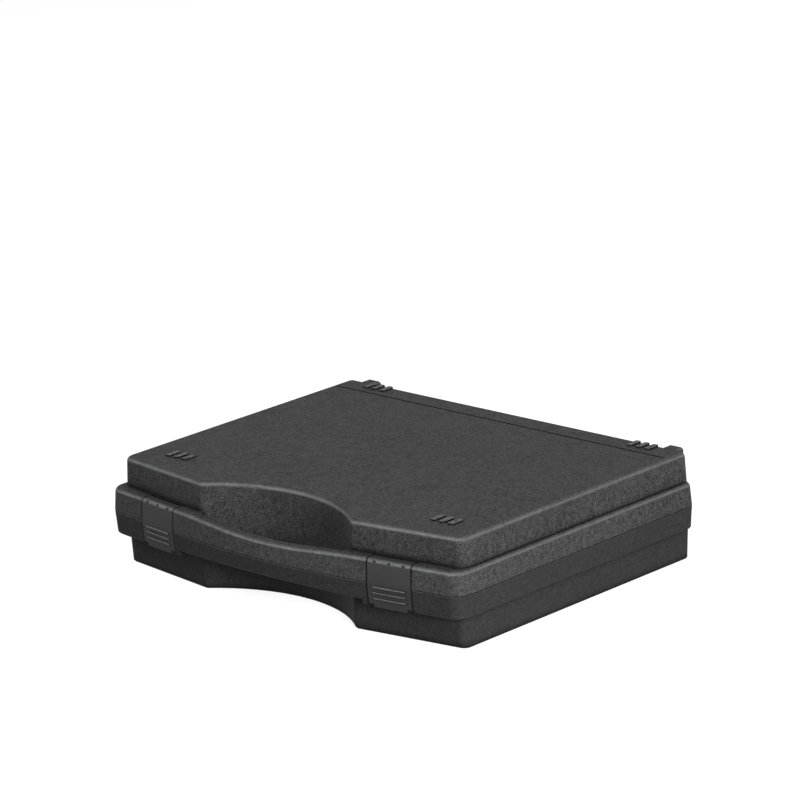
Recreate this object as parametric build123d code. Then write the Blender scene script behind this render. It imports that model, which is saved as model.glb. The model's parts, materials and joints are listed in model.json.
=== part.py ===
from build123d import *
import math
import os

# Moulded plastic tool case with a hinged lid, two snap latches and a handle split along the rim seam.
# X runs left to right, Y front to rear, Z up. The origin is under the middle of the case, where it stands.

# Overall case
case_width = 400.0  # over the rim band
case_depth = 326.0  # from the middle of the handle to the rear feet
base_height = 48.0  # underside to seam
lid_height = 45.0  # seam to deck
wall = 2.6
draft_angle = 2.8
seam_gap = 0.3

# Rim band round the front and both sides
band_half_height = 20.0  # above and below the seam
band_step = 5.5  # how far the band stands out from the side walls
band_draft_angle = 4.5
band_wing_angle = 8.0  # the front turns back by this angle on each side of the handle
band_corner_radius = 15.0
band_rear_corner_radius = 10.0
band_edge_radius = 4.0  # on the lid's half
band_rear_inset = 0.5  # behind the rear wall's face
seam_chamfer = 0.45
seam_chamfer_angle = 45.0
front_ledge = 12.5  # how far the band stands out from the front wall beside the handle
corner_rib_from_side = 24.0

# Front wall with its hand recess
wall_wing_angle = 8.0
wall_corner_radius = 10.0
rear_corner_radius = 7.5
panel_edge_radius = 4.5  # round the deck
base_edge_chamfer = 1.2  # on the edges of the base, which face down
recess_depth = 30.0
recess_corner_radius = 7.5

# Handle
handle_half_length = 85.0  # half the curved middle of the front
handle_thickness = 11.0
handle_edge_chamfer = 1.5  # along the hand gap
handle_tip_radius = 3.0
handle_rise_length = 20.0  # beyond the curve, where the handle reaches its full height
lid_dip = 3.7
base_dip = 6.2
base_dip_step = 3.8  # the lower half drops by this much beside each latch
handle_rib_count = 5
handle_rib_pitch = 28.0
rib_thickness = 2.0

# Overlapping rim lip
lip_height = 2.4
lip_thickness = 1.2
lip_clearance = 0.25

# Latches
latch_width = 43.0
latch_from_handle = 5.8  # between the end of the handle's rise and the latch
latch_side_gap = 0.4
latch_thickness = 2.6
latch_drop = 18.0  # below the seam
latch_cap_reach = 10.2  # over the top of the band
latch_inner_radius = 2.0
tab_width = 32.0
tab_drop = 20.8
tab_edge_radius = 0.9
grip_rib_count = 3
grip_rib_pitch = 4.9
grip_rib_radius = 1.15
grip_rib_stand_out = 0.9
grip_rib_first = 3.6  # below the seam
latch_pin_radius = 1.5
latch_pin_inset = 7.0
latch_pin_rise = 16.2
latch_barrel_radius = 3.7
latch_gusset_count = 3
latch_gusset_pitch = 14.0
latch_gusset_height = 8.0
latch_gusset_bite = 0.8  # into the barrel
ear_thickness = 3.2
lid_pocket_depth = 12.3
base_pocket_depth = 9.6

# Hook under each latch and its catch on the base
hook_width = 24.0
hook_reach = 8.0
hook_thickness = 3.2
hook_tip_thickness = 1.2
catch_width = 30.0
catch_reach = 4.4  # out of the back of the base's pocket
catch_top = 3.0  # below the seam
catch_slope = 2.0
catch_bottom = 8.0
catch_gap = 0.5

# Hinges
hinge_from_side = 95.0
knuckle_count = 3
knuckle_pitch = 18.0
knuckle_gap = 0.35
knuckle_radius = 3.8
knuckle_web_height = 9.5
hinge_wall_gap = 0.4
hinge_pin_radius = 1.5
pin_running_gap = 0.05
pin_seat_gap = 0.01

# Rear feet, on which the case can stand upright
foot_depth = 8.5
foot_width = 15.0
foot_from_side = 27.0
foot_seam_clearance = 6.5
foot_deck_setback = 1.0
foot_edge_radius = 2.2
foot_top_chamfer = 1.8
foot_wall = 2.2

# Deck details
groove_from_rear = 27.0
groove_from_side = 12.0
groove_width = 1.8
groove_depth = 1.1
nub_count = 3
nub_width = 5.6
nub_length = 14.0
nub_pitch = 9.4
nub_height = 1.2
nub_corner_cut = 1.2
nub_from_side = 48.5
nub_from_front = 44.8
nub_from_rear = 11.0
stack_clearance = 0.8
stack_pocket_depth = 1.5

# Worked out from the sizes above
half_width = case_width / 2
front_apex = -case_depth / 2
rear_wall = case_depth / 2 - foot_depth
hinge_reach = hinge_wall_gap + knuckle_radius
hinge_axis_y = rear_wall + hinge_reach
half_gap = seam_gap / 2
band_lean = band_half_height / 2 * math.tan(math.radians(band_draft_angle))
inner_half_width = half_width - band_lean
dip_half_length = handle_half_length + handle_rise_length
latch_centre = dip_half_length + latch_from_handle + latch_width / 2
hinge_centre = half_width - hinge_from_side
foot_centre = half_width - foot_from_side
nub_centre_x = half_width - nub_from_side
groove_half_length = half_width - groove_from_side
corner_rib_centre = half_width - corner_rib_from_side
recess_half_width = handle_half_length
recess_radius = (recess_half_width**2 + recess_depth**2) / (2 * recess_depth)
wing_slope = math.tan(math.radians(band_wing_angle))
front_radius = handle_half_length / math.sin(math.radians(band_wing_angle))
front_centre_y = front_apex + front_radius
band_wing_y = front_centre_y - front_radius * math.cos(math.radians(band_wing_angle))
wall_wing_y = band_wing_y + front_ledge
recess_centre_y = wall_wing_y + recess_depth - recess_radius
latch_face_y = band_wing_y + (latch_centre - handle_half_length) * wing_slope
pocket_half_width = latch_width / 2 + latch_side_gap
pin_length = 2 * (pocket_half_width + ear_thickness)
beyond = 2.0  # how far a cutter runs past what it cuts
pick = 0.1  # slack when an edge or a corner is picked by its place


def lean(distance, angle):
    """How far a drafted face leans in over a distance."""
    return distance * math.tan(math.radians(angle))


def plan_outline(half_x, middle_x, wing_y, wing_angle, rear, corner_radius, rear_radius):
    """Plan of the case: a curved middle, straight wings that turn back, sides and rear."""
    turn = math.radians(wing_angle)
    middle_y = wing_y - (handle_half_length - middle_x) * math.tan(turn)
    apex = middle_y - middle_x * math.tan(turn / 2)
    corner_y = wing_y + (half_x - handle_half_length) * math.tan(turn)
    left = (-middle_x, middle_y)
    right = (middle_x, middle_y)
    front = ThreePointArc(left, (0, apex), right)
    rest = Polyline(right, (half_x, corner_y), (half_x, rear), (-half_x, rear), (-half_x, corner_y), left)
    face = make_face([front, rest])
    face = fillet(face.vertices().filter_by(lambda v: abs(v.X) > half_x - pick and v.Y < 0), corner_radius)
    return fillet(face.vertices().filter_by(lambda v: v.Y > rear - pick), rear_radius)


def wall_outline(inset, half_x=half_width - band_step):
    """Plan of the walls at an inset from their outer face at the seam, with the hand recess."""
    outline = plan_outline(
        half_x - inset,
        recess_half_width / 2,
        wall_wing_y + inset / math.cos(math.radians(wall_wing_angle)),
        wall_wing_angle,
        rear_wall - inset,
        wall_corner_radius - inset,
        rear_corner_radius - inset,
    )
    outline -= Pos(0, recess_centre_y) * Circle(recess_radius + inset)
    recess_ends = outline.vertices().filter_by(lambda v: abs(v.X) < latch_centre and v.Y < 0)
    return fillet(recess_ends, recess_corner_radius - inset)


def band_outline(inset):
    """Plan of the rim band at an inset from its outer face at the seam."""
    return plan_outline(
        half_width - inset,
        handle_half_length,
        band_wing_y + inset / math.cos(math.radians(band_wing_angle)),
        band_wing_angle,
        rear_wall - band_rear_inset - inset,
        band_corner_radius - inset,
        band_rear_corner_radius,
    )


def hand_gap_outline(grow=0.0):
    """Plan of the hand gap, behind the handle and in front of the recess."""
    gap = Pos(0, recess_centre_y) * Circle(recess_radius + beyond + grow)
    gap &= Pos(0, front_centre_y) * Circle(front_radius - handle_thickness + grow)
    return fillet(gap.vertices(), handle_tip_radius + grow)


def slab(outline, low, high):
    """A plan raised from one height to another."""
    return extrude(Pos(0, 0, low) * outline, high - low)


def bar(low_x, high_x, low_y, high_y, low_z, high_z):
    """A block between two corners."""
    size = Box(high_x - low_x, high_y - low_y, high_z - low_z)
    return Pos((low_x + high_x) / 2, (low_y + high_y) / 2, (low_z + high_z) / 2) * size


def across(profile, low_x, high_x):
    """A profile drawn with Y and Z, run along X."""
    return extrude(Plane.YZ.offset(low_x) * profile, high_x - low_x)


def latch_place(side):
    """A latch's own frame on the band's face: X along it, Y into the case, Z up from the seam."""
    return Pos(side * latch_centre, latch_face_y, 0) * Rot(0, 0, side * band_wing_angle)


# Shell halves, drawn with the seam at height 0 and the outside of the case upwards


def ease(edges, radius):
    """The outer edges of one half, rounded by a radius, or on the base, where it is 0, chamfered."""
    return fillet(edges, radius) if radius else chamfer(edges, base_edge_chamfer)


def wall_block(height, edge_radius):
    """The box of one half, solid, with its outer edge eased."""
    block = extrude(Pos(0, 0, half_gap) * wall_outline(0), height - half_gap, taper=draft_angle)
    return ease(block.edges().filter_by(lambda e: e.center().Z > height - pick), edge_radius)


def wall_cavity(height):
    """The space inside one half, which steps out into the band at both sides."""
    top = height - wall
    space = extrude(wall_outline(wall), top, taper=draft_angle)
    return space + slab(wall_outline(wall, inner_half_width), -beyond, band_half_height - wall)


def lid_dip_profile():
    """What is cut from the top of the handle, seen from the front: a gentle dip with tangent ends."""
    top, half = band_half_height, dip_half_length
    turn_height = top - lid_dip / 2
    left = TangentArc((-half, top), (-half / 2, turn_height), tangent=(1, 0))
    middle = ThreePointArc((-half / 2, turn_height), (0, top - lid_dip), (half / 2, turn_height))
    right = TangentArc((half, top), (half / 2, turn_height), tangent=(-1, 0))
    above = Polyline((half, top), (half, top + beyond), (-half, top + beyond), (-half, top))
    return make_face([left, middle, right, above])


def base_dip_profile():
    """What is cut from the underside of the handle, seen from the front: a step and a shallow arch."""
    top, half = band_half_height, dip_half_length
    foot = top - base_dip_step
    arch = ThreePointArc((-half, foot), (0, top - base_dip), (half, foot))
    above = Polyline((half, foot), (half, top + beyond), (-half, top + beyond), (-half, foot))
    return make_face([arch, above])


def on_dip_step(edge):
    """True for an edge of the steps at the ends of the handle's dip."""
    along_step = abs((edge @ 0).X - (edge @ 1).X) < pick
    return along_step and abs(edge.center().X) < dip_half_length + pick


def rim_edges(body):
    """The edges where the top of the band meets its upright faces."""
    tops = [face for face in body.faces() if face.normal_at().Z > 1 - pick]
    edges = [edge for face in tops for edge in face.edges()]
    single = [edge for edge in edges if sum(edge.is_same(other) for other in edges) == 1]
    return [edge for edge in single if not on_dip_step(edge)]


def on_hand_gap(edge):
    """True for an edge that borders the hand gap."""
    middle = edge @ 0.5
    behind_handle = math.hypot(middle.X, middle.Y - front_centre_y) < front_radius - handle_thickness / 2
    before_recess = middle.Y < recess_centre_y + recess_radius + 2 * beyond
    return behind_handle and before_recess and abs(middle.X) < handle_half_length


def band_block(dip_profile, edge_radius):
    """The band and handle of one half, solid, with eased edges."""
    start = half_gap + seam_chamfer
    outline = Pos(0, 0, start) * band_outline(0)
    block = extrude(outline, band_half_height - start, taper=band_draft_angle)
    block += extrude(outline, -seam_chamfer, taper=seam_chamfer_angle)
    block -= extrude(Plane.XZ * dip_profile, case_depth, both=True)
    block -= slab(hand_gap_outline(), -beyond, band_half_height + beyond)
    block = ease([edge for edge in rim_edges(block) if not on_hand_gap(edge)], edge_radius)
    return chamfer([edge for edge in rim_edges(block) if on_hand_gap(edge)], handle_edge_chamfer)


def band_channel(pocket_depth, dip):
    """The hollow inside the band and handle, open at the seam, around its ribs and latch housings."""
    hollow = band_outline(wall + band_lean) - wall_outline(0, half_width) - hand_gap_outline(wall)
    for number in range(handle_rib_count):
        place = (number - (handle_rib_count - 1) / 2) * handle_rib_pitch
        hollow -= Pos(place, front_apex) * Rectangle(rib_thickness, 4 * handle_thickness)
    for side in (-1, 1):
        hollow -= Pos(side * corner_rib_centre, band_wing_y) * Rectangle(rib_thickness, 6 * front_ledge)
        housing = Rectangle(pin_length, pocket_depth + wall + beyond, align=(Align.CENTER, Align.MIN))
        hollow -= latch_place(side) * Pos(0, -beyond) * housing
    in_handle = Pos(0, front_apex) * Rectangle(2 * handle_half_length, case_depth)
    roof = band_half_height - wall
    return slab(hollow & in_handle, -beyond, roof - dip) + slab(hollow - in_handle, -beyond, roof)


def latch_pocket(side, depth):
    """The slot in one half that a latch lies in, open at the front, the seam and the band's edge."""
    return latch_place(side) * bar(
        -pocket_half_width, pocket_half_width, -2 * wall, depth, -beyond, band_half_height + beyond
    )


def rear_foot(side, height):
    """One hollow rear foot, open towards the seam."""
    top = height - foot_deck_setback
    low = side * foot_centre - foot_width / 2
    high = side * foot_centre + foot_width / 2
    back = rear_wall + foot_depth
    block = bar(low, high, rear_wall - wall, back, foot_seam_clearance, top)
    upright = block.edges().filter_by(Axis.Z)
    block = fillet(upright.filter_by(lambda e: e.center().Y > back - pick), foot_edge_radius)
    upper = block.edges().filter_by(lambda e: e.center().Z > top - pick)
    block = chamfer(upper.filter_by(lambda e: e.center().Y > rear_wall), foot_top_chamfer)
    return block - bar(
        low + foot_wall, high - foot_wall, rear_wall, back - foot_wall,
        foot_seam_clearance - beyond, top - foot_wall,
    )


def knuckle(start_x):
    """One hinge knuckle with the web that ties it to the rear wall."""
    rise = math.atan2(knuckle_web_height, -hinge_reach)
    turn = rise - math.acos(knuckle_radius / math.hypot(hinge_reach, knuckle_web_height))
    touch = (hinge_axis_y + knuckle_radius * math.cos(turn), knuckle_radius * math.sin(turn))
    inside = rear_wall - wall / 2
    web = Polyline(
        (inside, half_gap), (hinge_axis_y, half_gap), touch, (rear_wall, knuckle_web_height),
        (inside, knuckle_web_height), close=True,
    )
    profile = make_face(web) + Pos(hinge_axis_y, 0) * Circle(knuckle_radius)
    return across(profile, start_x, start_x + knuckle_pitch - knuckle_gap)


def hinge_starts(first):
    """Where every second knuckle starts on both hinges, from the first or the second one."""
    span = knuckle_count * knuckle_pitch - knuckle_gap
    return [
        side * hinge_centre - span / 2 + number * knuckle_pitch
        for side in (-1, 1)
        for number in range(first, knuckle_count, 2)
    ]


def hinge_bore(side, radius):
    """A round bar along one hinge's axis."""
    span = knuckle_count * knuckle_pitch - knuckle_gap
    middle = side * hinge_centre
    return across(Pos(hinge_axis_y, 0) * Circle(radius), middle - span / 2, middle + span / 2)


def latch_pin(side, radius, height):
    """A round bar along one latch's axis, at a height from the seam."""
    bar_profile = Pos(latch_pin_inset, height) * Circle(radius)
    return latch_place(side) * across(bar_profile, -pin_length / 2, pin_length / 2)


def shell_half(height, radii, dip_profile, dip, pocket_depth, first_knuckle, bore_gap, more_cuts):
    """One half of the case with everything that both halves share."""
    panel_radius, band_radius = radii
    added = [band_block(dip_profile, band_radius)]
    added += [rear_foot(side, height) for side in (-1, 1)]
    added += [knuckle(start) for start in hinge_starts(first_knuckle)]
    cut = [wall_cavity(height), band_channel(pocket_depth, dip)]
    cut += [latch_pocket(side, pocket_depth) for side in (-1, 1)]
    cut += [hinge_bore(side, hinge_pin_radius + bore_gap) for side in (-1, 1)]
    return wall_block(height, panel_radius) + added - (cut + more_cuts)


def nubs(grow, low, high):
    """Plain bars in four groups near the corners, or with a clearance the pockets that take them."""
    outline = Rectangle(nub_width + 2 * grow, nub_length + 2 * grow)
    outline = chamfer(outline.vertices(), nub_corner_cut + grow)
    bars = []
    for side in (-1, 1):
        for place_y in (wall_wing_y + nub_from_front, rear_wall - nub_from_rear):
            for number in range(nub_count):
                place_x = side * nub_centre_x + (number - (nub_count - 1) / 2) * nub_pitch
                bars.append(slab(Pos(place_x, place_y) * outline, low, high))
    return bars


def make_lid_shell():
    rebate = wall_outline(wall - lip_thickness - lip_clearance, inner_half_width)
    cuts = [slab(rebate, -beyond, lip_height + lip_clearance)]
    cuts += [latch_pin(side, latch_pin_radius + pin_seat_gap, latch_pin_rise) for side in (-1, 1)]
    groove_y = rear_wall - groove_from_rear
    groove = Pos(0, groove_y, lid_height) * Box(2 * groove_half_length, groove_width, 2 * groove_depth)
    radii = (panel_edge_radius, band_edge_radius)
    body = shell_half(
        lid_height, radii, lid_dip_profile(), lid_dip, lid_pocket_depth, 1, pin_running_gap, cuts + [groove]
    )
    body += nubs(0, lid_height - wall / 2, lid_height + nub_height)
    return Pos(0, 0, base_height) * body


def catch(side):
    """The ridge in the base's pocket that the hook goes under, sloped above to let the hook ride over."""
    back, front = base_pocket_depth + wall / 2, base_pocket_depth - catch_reach
    ridge = Polyline(
        (back, catch_top), (base_pocket_depth, catch_top), (front, catch_top + catch_slope),
        (front, catch_bottom), (back, catch_bottom), close=True,
    )
    return latch_place(side) * across(make_face(ridge), -catch_width / 2, catch_width / 2)


def make_base_shell():
    pockets = nubs(stack_clearance, base_height - stack_pocket_depth, base_height + beyond)
    body = shell_half(
        base_height, (0, 0), base_dip_profile(), base_dip, base_pocket_depth, 0, pin_seat_gap, pockets
    )
    lip = wall_outline(wall - lip_thickness, inner_half_width) - wall_outline(wall, inner_half_width)
    body += [slab(lip, -lip_height, 2 * half_gap)] + [catch(side) for side in (-1, 1)]
    return Pos(0, 0, base_height) * mirror(body, about=Plane.XY)


def latch_plate():
    """The plate on the band's face and its cap over the band's top, with the barrel for the pin."""
    top, low = band_half_height, -latch_drop
    top_y, low_y = lean(top, band_draft_angle), lean(latch_drop, band_draft_angle)
    profile = make_face(
        Polyline(
            (low_y, low), (0, 0), (top_y, top), (latch_cap_reach, top),
            (latch_cap_reach, top - latch_thickness), (top_y + latch_thickness, top - latch_thickness),
            (latch_thickness, 0), (low_y + latch_thickness, low), close=True,
        )
    )
    crown = profile.vertices().filter_by(lambda v: v.Y > top - pick and v.X < latch_thickness)
    profile = fillet(crown, band_edge_radius)
    under_cap = profile.vertices().filter_by(lambda v: abs(v.Y - top + latch_thickness) < pick)
    profile = fillet(under_cap.filter_by(lambda v: v.X < latch_cap_reach / 2), latch_inner_radius)
    profile += Pos(latch_pin_inset, latch_pin_rise) * Circle(latch_barrel_radius)
    profile -= Pos(latch_pin_inset, latch_pin_rise) * Circle(latch_pin_radius + pin_running_gap)
    return across(profile, -latch_width / 2, latch_width / 2)


def latch_tab():
    """The narrower end below the plate that a finger lifts."""
    half = tab_width / 2
    low_y = lean(latch_drop, band_draft_angle)
    tab = bar(-half, half, low_y, low_y + latch_thickness, -tab_drop, latch_thickness - latch_drop)
    return fillet(tab.edges().filter_by(lambda e: e.center().Z < pick - tab_drop), tab_edge_radius)


def latch_hook():
    """The hook that goes under the catch."""
    top = -catch_bottom - catch_gap
    root = latch_thickness / 2
    profile = Polyline(
        (root, top), (hook_reach, top), (hook_reach, top - hook_tip_thickness),
        (latch_thickness + root, top - hook_thickness), (root, top - hook_thickness), close=True,
    )
    return across(make_face(profile), -hook_width / 2, hook_width / 2)


def latch_grip_rib(number):
    """One rounded bar across the plate."""
    height = -grip_rib_first - number * grip_rib_pitch
    depth = lean(-height, band_draft_angle) + grip_rib_radius - grip_rib_stand_out
    round_bar = across(Pos(depth, height) * Circle(grip_rib_radius), -tab_width / 2, tab_width / 2)
    ends = SlotOverall(tab_width, 2 * grip_rib_radius)
    return round_bar & extrude(Plane.XZ.offset(-depth) * Pos(0, height) * ends, grip_rib_radius, both=True)


def latch_gusset(number):
    """One web that ties the barrel to the plate."""
    place = (number - (latch_gusset_count - 1) / 2) * latch_gusset_pitch
    root = latch_thickness / 2
    tip = latch_pin_inset - latch_barrel_radius + latch_gusset_bite
    roof = band_half_height - latch_thickness / 2
    low = latch_pin_rise - latch_barrel_radius / 2
    web = Polyline((root, latch_gusset_height), (tip, low), (tip, roof), (root, roof), close=True)
    return across(make_face(web), place - rib_thickness / 2, place + rib_thickness / 2)


def make_latch(side):
    """One latch as a single moulding, in its place on the case."""
    details = [latch_gusset(number) for number in range(latch_gusset_count)]
    details += [latch_grip_rib(number) for number in range(grip_rib_count)]
    body = latch_plate() + [latch_tab(), latch_hook()] + details
    return Pos(0, 0, base_height) * latch_place(side) * body


def make_latch_pin(side):
    return Pos(0, 0, base_height) * latch_pin(side, latch_pin_radius, latch_pin_rise)


def make_hinge_pin(side):
    return Pos(0, 0, base_height) * hinge_bore(side, hinge_pin_radius)


def write_part(name, solid):
    solid.label = name
    export_step(solid, os.path.join("parts", name + ".step"))


os.makedirs("parts", exist_ok=True)
write_part("base_shell", make_base_shell())
write_part("lid_shell", make_lid_shell())
for side_name, side_sign in (("left", -1), ("right", 1)):
    write_part("latch_" + side_name, make_latch(side_sign))
    write_part("latch_pin_" + side_name, make_latch_pin(side_sign))
    write_part("hinge_pin_" + side_name, make_hinge_pin(side_sign))
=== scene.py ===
import json
import math

import bpy
from mathutils import Matrix, Vector


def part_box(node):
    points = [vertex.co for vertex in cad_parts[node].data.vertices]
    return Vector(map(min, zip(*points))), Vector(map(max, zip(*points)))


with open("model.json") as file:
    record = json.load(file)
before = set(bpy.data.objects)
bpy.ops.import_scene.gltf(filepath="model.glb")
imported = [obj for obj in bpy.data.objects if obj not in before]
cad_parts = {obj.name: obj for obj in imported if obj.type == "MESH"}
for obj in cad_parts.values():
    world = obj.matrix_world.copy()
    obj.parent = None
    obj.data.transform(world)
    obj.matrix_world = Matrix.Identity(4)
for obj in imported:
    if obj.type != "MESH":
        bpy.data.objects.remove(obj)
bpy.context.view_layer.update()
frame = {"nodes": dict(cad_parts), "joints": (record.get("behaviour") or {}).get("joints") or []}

scene = bpy.context.scene
MM = 0.001


# Shading of the moulded pieces
def smoothing_group(limit):
    """Node group that joins split vertices and shades smooth up to an edge angle."""
    group = bpy.data.node_groups.new("smooth_below_angle", "GeometryNodeTree")
    group.interface.new_socket("Geometry", in_out="INPUT", socket_type="NodeSocketGeometry")
    group.interface.new_socket("Geometry", in_out="OUTPUT", socket_type="NodeSocketGeometry")
    nodes, links = group.nodes, group.links
    source = nodes.new("NodeGroupInput")
    result = nodes.new("NodeGroupOutput")
    merge = nodes.new("GeometryNodeMergeByDistance")
    merge.inputs["Distance"].default_value = 0.001 * MM
    faces = nodes.new("GeometryNodeSetShadeSmooth")
    faces.domain = "FACE"
    edges = nodes.new("GeometryNodeSetShadeSmooth")
    edges.domain = "EDGE"
    edges.inputs["Shade Smooth"].default_value = False
    angle = nodes.new("GeometryNodeInputMeshEdgeAngle")
    sharp = nodes.new("FunctionNodeCompare")
    sharp.operation = "GREATER_THAN"
    sharp.inputs["B"].default_value = limit
    links.new(source.outputs[0], merge.inputs["Geometry"])
    links.new(merge.outputs[0], faces.inputs["Geometry"])
    links.new(faces.outputs[0], edges.inputs["Geometry"])
    links.new(angle.outputs["Unsigned Angle"], sharp.inputs["A"])
    links.new(sharp.outputs[0], edges.inputs["Selection"])
    links.new(edges.outputs[0], result.inputs[0])
    return group


SMOOTH_BELOW = smoothing_group(math.radians(24))


def smooth(obj):
    """Smooth shading that leaves the flat faces flat."""
    shade = obj.modifiers.new("shade", "NODES")
    shade.node_group = SMOOTH_BELOW
    weighted = obj.modifiers.new("weighted", "WEIGHTED_NORMAL")
    weighted.keep_sharp = True
    weighted.weight = 100


# Materials
class Shader:
    """A material under construction."""

    def __init__(self, name):
        self.material = bpy.data.materials.new(name)
        self.material.use_nodes = True
        self.tree = self.material.node_tree
        self.surface = self.tree.nodes["Principled BSDF"]

    def node(self, kind, values=None, **settings):
        made = self.tree.nodes.new(kind)
        for key, value in settings.items():
            setattr(made, key, value)
        for key, value in (values or {}).items():
            made.inputs[key].default_value = value
        return made

    def link(self, output, target):
        self.tree.links.new(output, target)

    def split(self, vector):
        """The X, Y and Z outputs of a vector."""
        made = self.node("ShaderNodeSeparateXYZ")
        self.link(vector, made.inputs[0])
        return made.outputs

    def noise(self, vector, scale, detail, roughness):
        made = self.node("ShaderNodeTexNoise", {"Scale": scale, "Detail": detail, "Roughness": roughness})
        self.link(vector, made.inputs["Vector"])
        return made.outputs["Fac"]

    def ramp(self, value, low, high, to_low=0.0, to_high=1.0):
        """Value, clamped between low and high, mapped to the range from to_low to to_high."""
        limits = {"From Min": low, "From Max": high, "To Min": to_low, "To Max": to_high}
        made = self.node("ShaderNodeMapRange", limits)
        self.link(value, made.inputs["Value"])
        return made.outputs["Result"]

    def calc(self, operation, *operands):
        made = self.node("ShaderNodeMath", operation=operation)
        for socket, value in zip(made.inputs, operands):
            if isinstance(value, (int, float)):
                socket.default_value = value
            else:
                self.link(value, socket)
        return made.outputs[0]

    def mix(self, factor, a, b):
        """Colour a where the factor is 0 and b where it is 1."""
        made = self.node("ShaderNodeMix", data_type="RGBA")
        self.link(factor, made.inputs[0])
        for socket, value in ((made.inputs[6], a), (made.inputs[7], b)):
            if isinstance(value, tuple):
                socket.default_value = (*value, 1.0)
            else:
                self.link(value, socket)
        return made.outputs[2]

    def bump(self, height, strength, distance):
        made = self.node("ShaderNodeBump", {"Strength": strength, "Distance": distance})
        self.link(height, made.inputs["Height"])
        return made.outputs["Normal"]


# Places on the case, from the frame. Both latches are alike, so the right one stands for both.
latch_joint = next(joint for joint in frame["joints"] if joint["name"] == "latch_right_hinge")
latch_low, latch_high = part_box("latch_right")
LATCH_X, LATCH_Y = latch_joint["pos_m"][:2]
LATCH_COS, LATCH_SIN = (-part for part in latch_joint["axis"][:2])
SLOT_OUT = 21.65 * MM
SLOT_HALF_WIDTH = 0.45 * MM
SLOT_BLUR = 0.65 * MM
SLOT_END_BLUR = 0.6 * MM
SLOT_TOP = latch_high[2] + 0.6 * MM
SLOT_BOTTOM = latch_low[2] + 1.4 * MM
SLOT_DEPTH = 9.1 * MM
SLOT_DEPTH_BLUR = 2 * MM
BAR_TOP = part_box("lid_shell")[1][2]
BAR_UNWORN = 1.0 * MM
BAR_WORN = 0.4 * MM

# Looks of the plastic: tones are linear, noise scales are per metre unless they are per pebble
# Near-black of the painted shade in crevices and along the latch slots
PAINTED_SHADE_TONE = (0.002, 0.002, 0.002)
# Lid and base are one charcoal plastic: the lid's tone is painted lighter as painted light, the base's
# darker as painted shade
LID_LIT_TONE = (0.029, 0.029, 0.0296)
BASE_SHADED_TONE = (0.021, 0.021, 0.0214)
LATCH_TONE = (0.023, 0.023, 0.0235)
# Light grey of the painted highlight, partly wear, on upturned edges, and of the rubbed bar tops
SHEEN_AND_WEAR_TONE = (0.155, 0.155, 0.158)
STEEL_TONE = (0.55, 0.55, 0.56)
GRIT_SCALE, GRIT_SHARE = 1.1, 0.75
COARSE_SCALE, COARSE_SHARE = 0.3, 0.2
CLOUD_SCALE, CLOUD_SHARE = 14.0, 0.12
PATCH_SCALE = 160.0
SPECKLE_DARK, SPECKLE_LIGHT = 0.42, 0.66
EDGE_TILT, EDGE_FALLOFF = 0.5, 1.4
PATCH_SHEEN_AND_WEAR = 0.6
SIDE_START, SIDE_FULL, SIDE_SHEEN = 0.35, 0.65, 0.5
BAR_WEAR = 0.85
# Reach and strength of the painted shade in crevices, found by ambient occlusion
CREVICE_REACH = 7 * MM
CREVICE_DARK, CREVICE_OPEN = 0.5, 0.96
ROUGHNESS_SWING = 0.06
EDGE_POLISH = 0.32
CELL_BLUR = 0.6


def outside_slot_shade(shader, place):
    """0 along the slot at each side of a latch, where a line of painted shade stands for the dark gap, and
    1 elsewhere.
    """
    across = shader.calc("SUBTRACT", shader.calc("ABSOLUTE", place["X"]), LATCH_X)
    inward = shader.calc("SUBTRACT", place["Y"], LATCH_Y)
    across_part = shader.calc("MULTIPLY", across, LATCH_COS)
    inward_part = shader.calc("MULTIPLY", inward, LATCH_SIN)
    from_middle = shader.calc("ABSOLUTE", shader.calc("ADD", across_part, inward_part))
    to_slot = shader.calc("ABSOLUTE", shader.calc("SUBTRACT", from_middle, SLOT_OUT))
    clear = shader.ramp(to_slot, SLOT_HALF_WIDTH, SLOT_HALF_WIDTH + SLOT_BLUR)
    above = shader.ramp(place["Z"], SLOT_TOP, SLOT_TOP + SLOT_END_BLUR)
    below = shader.ramp(place["Z"], SLOT_BOTTOM, SLOT_BOTTOM - SLOT_END_BLUR)
    behind = shader.ramp(inward, SLOT_DEPTH, SLOT_DEPTH + SLOT_DEPTH_BLUR)
    for elsewhere in (above, below, behind):
        clear = shader.calc("MAXIMUM", clear, elsewhere)
    return clear


def sheen_and_wear(shader, place, height, normal, grit):
    """1 on upturned edges, where a painted highlight with some wear lies along the fillets, and on the tops
    of the bars, where shelves have rubbed the plastic.
    """
    facing = shader.split(normal)
    turned_up = shader.ramp(facing["Z"], 0.0, EDGE_TILT)
    not_flat = shader.ramp(facing["Z"], 1.0, EDGE_TILT)
    edge = shader.calc("POWER", shader.calc("MULTIPLY", turned_up, not_flat), EDGE_FALLOFF)
    patchy = shader.ramp(shader.noise(place, PATCH_SCALE, 3.0, 0.6), 0.3, 0.7, PATCH_SHEEN_AND_WEAR, 1.0)
    edge = shader.calc("MULTIPLY", edge, patchy)
    # The painted highlight is kept weaker on edges that face sideways
    sideways = shader.calc("ABSOLUTE", facing["X"])
    edge = shader.calc("MULTIPLY", edge, shader.ramp(sideways, SIDE_START, SIDE_FULL, 1.0, SIDE_SHEEN))
    on_bar = shader.ramp(height, BAR_TOP - BAR_UNWORN, BAR_TOP - BAR_WORN)
    rubbed = shader.calc("MULTIPLY", on_bar, shader.ramp(grit, 0.46, 0.60, 0.0, BAR_WEAR))
    return shader.calc("MAXIMUM", edge, rubbed)


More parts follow.
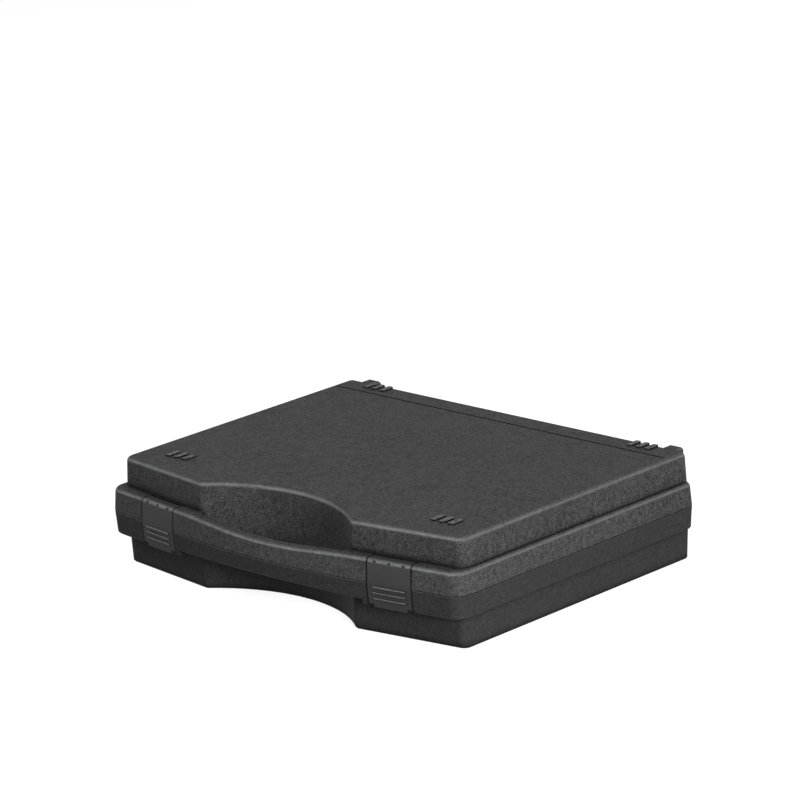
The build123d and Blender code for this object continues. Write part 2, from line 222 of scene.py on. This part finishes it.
def moulded_plastic(name, tone, spread, roughness, specular, pebble, relief):
    """Charcoal plastic with a pebbled moulded grain, a painted highlight with some wear where its edges
    turn upward, and painted shade in its crevices.
    """
    shader = Shader(name)
    coordinates = shader.node("ShaderNodeTexCoord")
    place = coordinates.outputs["Object"]
    axes = shader.split(place)
    grit = shader.noise(place, GRIT_SCALE / pebble, 3.0, 0.65)
    coarse = shader.noise(place, COARSE_SCALE / pebble, 2.0, 0.5)
    cloud = shader.noise(place, CLOUD_SCALE, 3.0, 0.55)
    speckle = shader.calc("MULTIPLY", grit, GRIT_SHARE)
    speckle = shader.calc("ADD", speckle, shader.calc("MULTIPLY", coarse, COARSE_SHARE))
    speckle = shader.calc("ADD", speckle, shader.calc("MULTIPLY", cloud, CLOUD_SHARE))
    dark = tuple(value * (1 - spread) for value in tone)
    light = tuple(value * (1 + spread) for value in tone)
    colour = shader.mix(shader.ramp(speckle, SPECKLE_DARK, SPECKLE_LIGHT), dark, light)

    # Painted highlight along the upturned edges, with some wear; the bar tops are lighter from wear
    edge = sheen_and_wear(shader, place, axes["Z"], coordinates.outputs["Normal"], grit)
    colour = shader.mix(edge, colour, SHEEN_AND_WEAR_TONE)

    # Painted shade: the colour darkens to near-black where ambient occlusion finds crevices and along the
    # latch slots
    open_air = shader.node("ShaderNodeAmbientOcclusion", {"Distance": CREVICE_REACH}, samples=8)
    unshaded = shader.ramp(open_air.outputs["AO"], CREVICE_DARK, CREVICE_OPEN)
    unshaded = shader.calc("MINIMUM", unshaded, outside_slot_shade(shader, axes))
    shader.link(shader.mix(unshaded, PAINTED_SHADE_TONE, colour), shader.surface.inputs["Base Color"])

    rough = shader.calc("ADD", grit, cloud)
    rough = shader.ramp(rough, 0.6, 1.4, roughness - ROUGHNESS_SWING, roughness + ROUGHNESS_SWING)
    rough = shader.calc("SUBTRACT", rough, shader.calc("MULTIPLY", edge, EDGE_POLISH))
    shader.link(rough, shader.surface.inputs["Roughness"])

    cell_shape = {"Scale": 1 / pebble, "Smoothness": CELL_BLUR, "Randomness": 1.0}
    cells = shader.node("ShaderNodeTexVoronoi", cell_shape, feature="SMOOTH_F1")
    shader.link(place, cells.inputs["Vector"])
    height = shader.calc("SUBTRACT", shader.calc("MULTIPLY", grit, 0.6), cells.outputs["Distance"])
    shader.link(shader.bump(height, relief, pebble * 0.25), shader.surface.inputs["Normal"])
    shader.surface.inputs["Specular IOR Level"].default_value = specular
    return shader.material


def drawn_steel(name, tone):
    """Plain wire with faint lengthwise drawing lines."""
    shader = Shader(name)
    place = shader.node("ShaderNodeTexCoord").outputs["Object"]
    stretch = shader.node("ShaderNodeMapping", {"Scale": (0.05, 1.0, 1.0)})
    shader.link(place, stretch.inputs["Vector"])
    lines = shader.noise(stretch.outputs["Vector"], 4000.0, 3.0, 0.6)
    dark = tuple(value * 0.8 for value in tone)
    shader.link(shader.mix(lines, dark, tone), shader.surface.inputs["Base Color"])
    shader.link(shader.ramp(lines, 0.3, 0.7, 0.25, 0.42), shader.surface.inputs["Roughness"])
    shader.link(shader.bump(lines, 0.15, 0.02 * MM), shader.surface.inputs["Normal"])
    shader.surface.inputs["Metallic"].default_value = 1.0
    return shader.material


lid_plastic = moulded_plastic(
    "lid_plastic", LID_LIT_TONE, spread=0.85, roughness=0.70, specular=0.09, pebble=1.3 * MM, relief=0.9
)
base_plastic = moulded_plastic(
    "base_plastic", BASE_SHADED_TONE, spread=0.40, roughness=0.74, specular=0.08, pebble=1.3 * MM, relief=0.5
)
latch_plastic = moulded_plastic(
    "latch_plastic", LATCH_TONE, spread=0.15, roughness=0.58, specular=0.14, pebble=0.7 * MM, relief=0.16
)
pin_steel = drawn_steel("pin_steel", STEEL_TONE)

FINISH = {
    "base_shell": base_plastic,
    "lid_shell": lid_plastic,
    "latch_left": latch_plastic,
    "latch_right": latch_plastic,
    "latch_pin_left": pin_steel,
    "latch_pin_right": pin_steel,
    "hinge_pin_left": pin_steel,
    "hinge_pin_right": pin_steel,
}
for node_name, finish in FINISH.items():
    node = frame["nodes"][node_name]
    for slot in node.material_slots:
        slot.link = "OBJECT"
        slot.material = finish
    smooth(node)


# Pale floor and white background
FLOOR_REACH = 8.0
FLOOR_GREY = 0.3
FLOOR_SEEN = 0.84
SOFT_LIGHT = 0.18
SEEN_WHITE = 1.0


def grey(level):
    return (level, level, level, 1.0)


def seen_directly(tree):
    """1 for rays from the camera, from a mirror or through glass, 0 for the rest."""
    path = tree.nodes.new("ShaderNodeLightPath")
    total = path.outputs["Is Camera Ray"]
    for name in ("Is Glossy Ray", "Is Transmission Ray"):
        add = tree.nodes.new("ShaderNodeMath")
        add.operation = "MAXIMUM"
        tree.links.new(total, add.inputs[0])
        tree.links.new(path.outputs[name], add.inputs[1])
        total = add.outputs[0]
    return total


def floor_paper():
    """Diffuse grey that keeps the shadow and looks nearly white."""
    material = bpy.data.materials.new("floor")
    material.use_nodes = True
    tree = material.node_tree
    tree.nodes.clear()
    paper = tree.nodes.new("ShaderNodeBsdfDiffuse")
    paper.inputs["Color"].default_value = grey(FLOOR_GREY)
    glow = tree.nodes.new("ShaderNodeEmission")
    glow.inputs["Color"].default_value = grey(FLOOR_SEEN)
    tree.links.new(seen_directly(tree), glow.inputs["Strength"])
    both = tree.nodes.new("ShaderNodeAddShader")
    tree.links.new(paper.outputs[0], both.inputs[0])
    tree.links.new(glow.outputs[0], both.inputs[1])
    out = tree.nodes.new("ShaderNodeOutputMaterial")
    tree.links.new(both.outputs[0], out.inputs["Surface"])
    return material


def studio_world():
    """Soft even light, and plain white where the background is seen."""
    world = bpy.data.worlds.new("studio")
    world.use_nodes = True
    tree = world.node_tree
    tree.nodes.clear()
    choose = tree.nodes.new("ShaderNodeMixShader")
    tree.links.new(seen_directly(tree), choose.inputs["Fac"])
    for socket, strength in ((choose.inputs[1], SOFT_LIGHT), (choose.inputs[2], SEEN_WHITE)):
        background = tree.nodes.new("ShaderNodeBackground")
        background.inputs["Color"].default_value = grey(1.0)
        background.inputs["Strength"].default_value = strength
        tree.links.new(background.outputs[0], socket)
    out = tree.nodes.new("ShaderNodeOutputWorld")
    tree.links.new(choose.outputs[0], out.inputs["Surface"])
    return world


floor_corners = [(x * FLOOR_REACH, y * FLOOR_REACH, 0) for x, y in ((-1, -1), (1, -1), (1, 1), (-1, 1))]
floor_mesh = bpy.data.meshes.new("floor")
floor_mesh.from_pydata(floor_corners, [], [(0, 1, 2, 3)])
floor_mesh.materials.append(floor_paper())
floor = bpy.data.objects.new("floor", floor_mesh)
scene.collection.objects.link(floor)
scene.world = studio_world()


def direction(azimuth, elevation):
    """Unit vector away from the case, with azimuth 0 in front of the handle and 90 degrees at the right."""
    level_part = math.cos(elevation)
    return Vector((math.sin(azimuth) * level_part, -math.cos(azimuth) * level_part, math.sin(elevation)))


# Lights
def softbox(name, azimuth, elevation, distance, size, power):
    """A square area light aimed at the case, with its angles in degrees."""
    light = bpy.data.lights.new(name, "AREA")
    light.shape = "SQUARE"
    light.size = size
    light.energy = power
    lamp = bpy.data.objects.new(name, light)
    away = direction(math.radians(azimuth), math.radians(elevation))
    lamp.location = away * distance
    lamp.rotation_mode = "QUATERNION"
    lamp.rotation_quaternion = away.to_track_quat("Z", "Y")
    scene.collection.objects.link(lamp)


softbox("right_key", azimuth=68, elevation=17, distance=2.6, size=0.9, power=122.0)
softbox("left_high", azimuth=-67, elevation=46, distance=2.6, size=1.1, power=32.0)
softbox("front", azimuth=-10, elevation=20, distance=2.6, size=2.2, power=4.0)
softbox("behind_high", azimuth=165, elevation=50, distance=2.8, size=1.0, power=8.0)
softbox("behind_left", azimuth=195, elevation=45, distance=2.8, size=2.0, power=8.0)


# Camera, fitted to the straight edges of the photographed case
AZIMUTH, ELEVATION, ROLL = (math.radians(angle) for angle in (43.657, 16.491, -2.714))
RIGHT_OFFSET, UP_OFFSET, DISTANCE = -3.415 * MM, 135.265 * MM, 3804.24 * MM
AIM = Vector((0, 7.25, 0)) * MM
FOCAL_PIXELS = 4514.68
PICTURE_PIXELS = 800
SENSOR = 36.0

back = direction(AZIMUTH, ELEVATION)
level = Vector((math.cos(AZIMUTH), math.sin(AZIMUTH), 0))
upright = back.cross(level)
right = level * math.cos(ROLL) + upright * math.sin(ROLL)
up = upright * math.cos(ROLL) - level * math.sin(ROLL)
eye = AIM + right * RIGHT_OFFSET + up * UP_OFFSET + back * DISTANCE
camera_data = bpy.data.cameras.new("camera")
camera_data.sensor_width = SENSOR
camera_data.lens = FOCAL_PIXELS / PICTURE_PIXELS * SENSOR
camera_data.clip_start = 0.1
camera_data.clip_end = 50.0
camera = bpy.data.objects.new("camera", camera_data)
scene.collection.objects.link(camera)
camera.matrix_world = Matrix(
    (
        (right.x, up.x, back.x, eye.x),
        (right.y, up.y, back.y, eye.y),
        (right.z, up.z, back.z, eye.z),
        (0, 0, 0, 1),
    )
)
scene.camera = camera
scene.view_settings.view_transform = "Standard"
